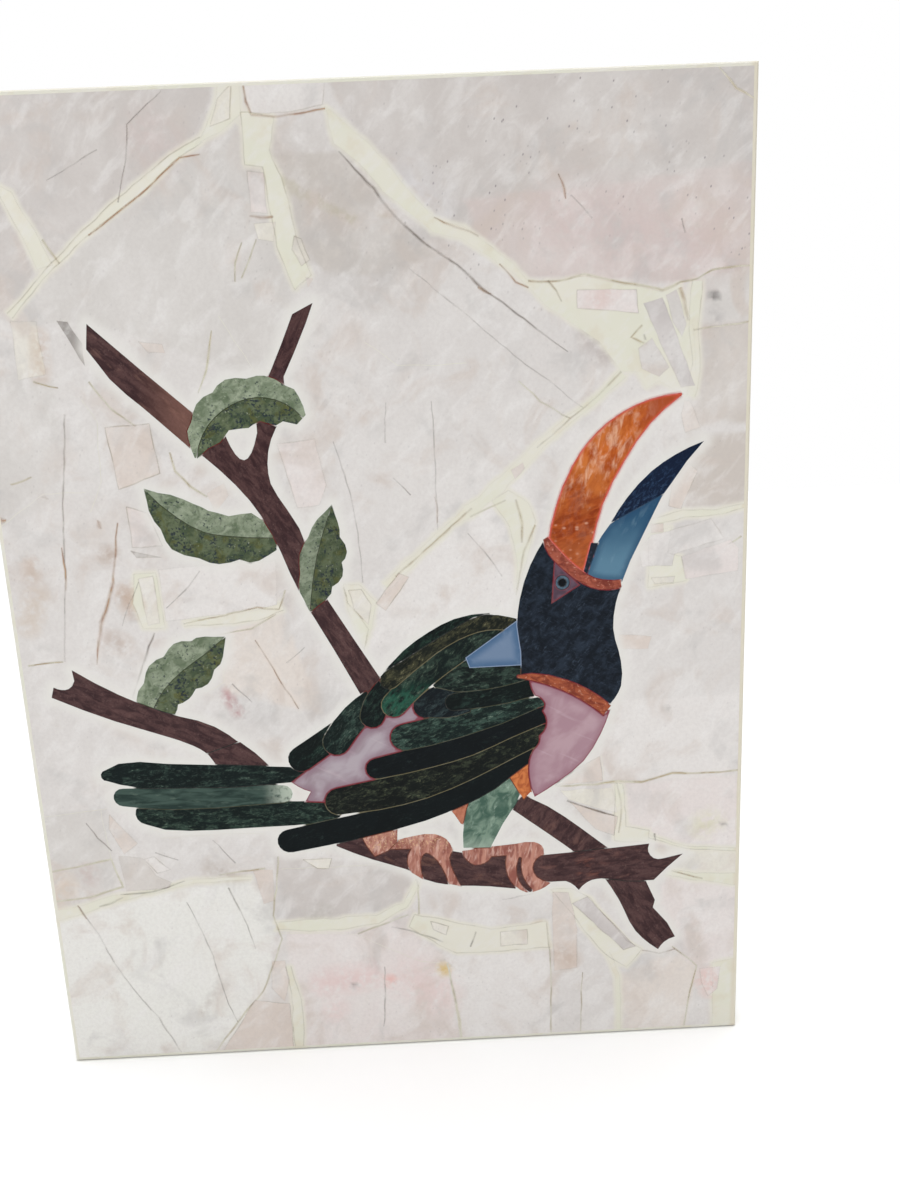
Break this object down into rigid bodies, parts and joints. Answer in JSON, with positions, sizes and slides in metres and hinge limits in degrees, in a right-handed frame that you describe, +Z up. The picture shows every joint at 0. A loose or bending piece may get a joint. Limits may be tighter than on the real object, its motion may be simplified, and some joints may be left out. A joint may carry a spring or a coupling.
{
  "type": "pietra dura wall panel",
  "caption": "Upright rectangular wall panel of pale polished quartz in cream resin, with a long-billed bird on leafy branches inlaid flush in coloured stones.",
  "frame": {"origin": "centre of the flat back face, which goes against the wall", "axes": "+Z up the picture, +Y out of the back towards the wall, so the polished face looks along -Y; +X to the right as the picture is seen"},
  "size_m": [0.45, 0.018, 0.6],
  "materials": {
    "pale_quartz": "polished",
    "jet": "polished",
    "ring_agate": "polished",
    "mauve_agate": "polished",
    "rosy_marble": "polished",
    "orange_calcite": "polished",
    "steel_blue_calcite": "polished",
    "navy_sodalite": "polished",
    "honey_marble": "polished",
    "blue_black_stone": "polished",
    "pale_blue_stone": "polished",
    "rose_agate": "polished, translucent",
    "olive_black_serpentine": "polished",
    "deep_green_serpentine": "polished",
    "black_green_serpentine": "polished",
    "grey_green_jade": "polished",
    "thigh_green_onyx": "polished",
    "salmon_onyx": "polished",
    "branch_jasper": "polished",
    "leaf_light_jasper": "polished",
    "leaf_dark_jasper": "polished"
  },
  "bodies": {
    "root": {"back_feather_1": "olive_black_serpentine", "back_feather_2": "deep_green_serpentine", "back_feather_3": "black_green_serpentine", "back_feather_4": "black_green_serpentine", "back_feather_5": "deep_green_serpentine", "back_feather_6": "black_green_serpentine", "belly": "rose_agate", "bill_band": "rosy_marble", "bill_wedge": "jet", "breast": "rose_agate", "chest_patch": "orange_calcite", "diagonal_branch": "branch_jasper", "eye_patch": "mauve_agate", "eye_pupil": "jet", "eye_ring": "ring_agate", "fork": "branch_jasper", "ground_slab": "pale_quartz", "head": "blue_black_stone", "leaf_a_dark": "leaf_dark_jasper", "leaf_a_light": "leaf_light_jasper", "leaf_b_dark": "leaf_dark_jasper", "leaf_b_light": "leaf_light_jasper", "leaf_c_dark": "leaf_dark_jasper", "leaf_c_light": "leaf_light_jasper", "leaf_d_dark": "leaf_dark_jasper", "leaf_d_light": "leaf_light_jasper", "left_foot": "salmon_onyx", "left_limb": "branch_jasper", "left_limb_end": "branch_jasper", "leg_patch": "orange_calcite", "lower_bill_base": "steel_blue_calcite", "lower_bill_tip": "navy_sodalite", "lower_branch": "branch_jasper", "middle_branch": "branch_jasper", "neck_collar": "honey_marble", "perch_chip": "branch_jasper", "perch_right": "branch_jasper", "perch_under_1": "branch_jasper", "perch_under_2": "branch_jasper", "perch_under_3": "branch_jasper", "rear_claw": "salmon_onyx", "right_foot": "salmon_onyx", "shoulder_patch": "pale_blue_stone", "tail_feather_1": "deep_green_serpentine", "tail_feather_2": "grey_green_jade", "tail_feather_3": "deep_green_serpentine", "thigh": "thigh_green_onyx", "twig": "branch_jasper", "upper_bill": "orange_calcite", "upper_limb": "branch_jasper", "wing_feather_1": "deep_green_serpentine", "wing_feather_2": "black_green_serpentine", "wing_feather_3": "blue_black_stone", "wing_feather_4": "deep_green_serpentine", "wing_feather_5": "black_green_serpentine", "wing_feather_6": "olive_black_serpentine", "wing_feather_7": "black_green_serpentine"}
  },
  "joints": []
}
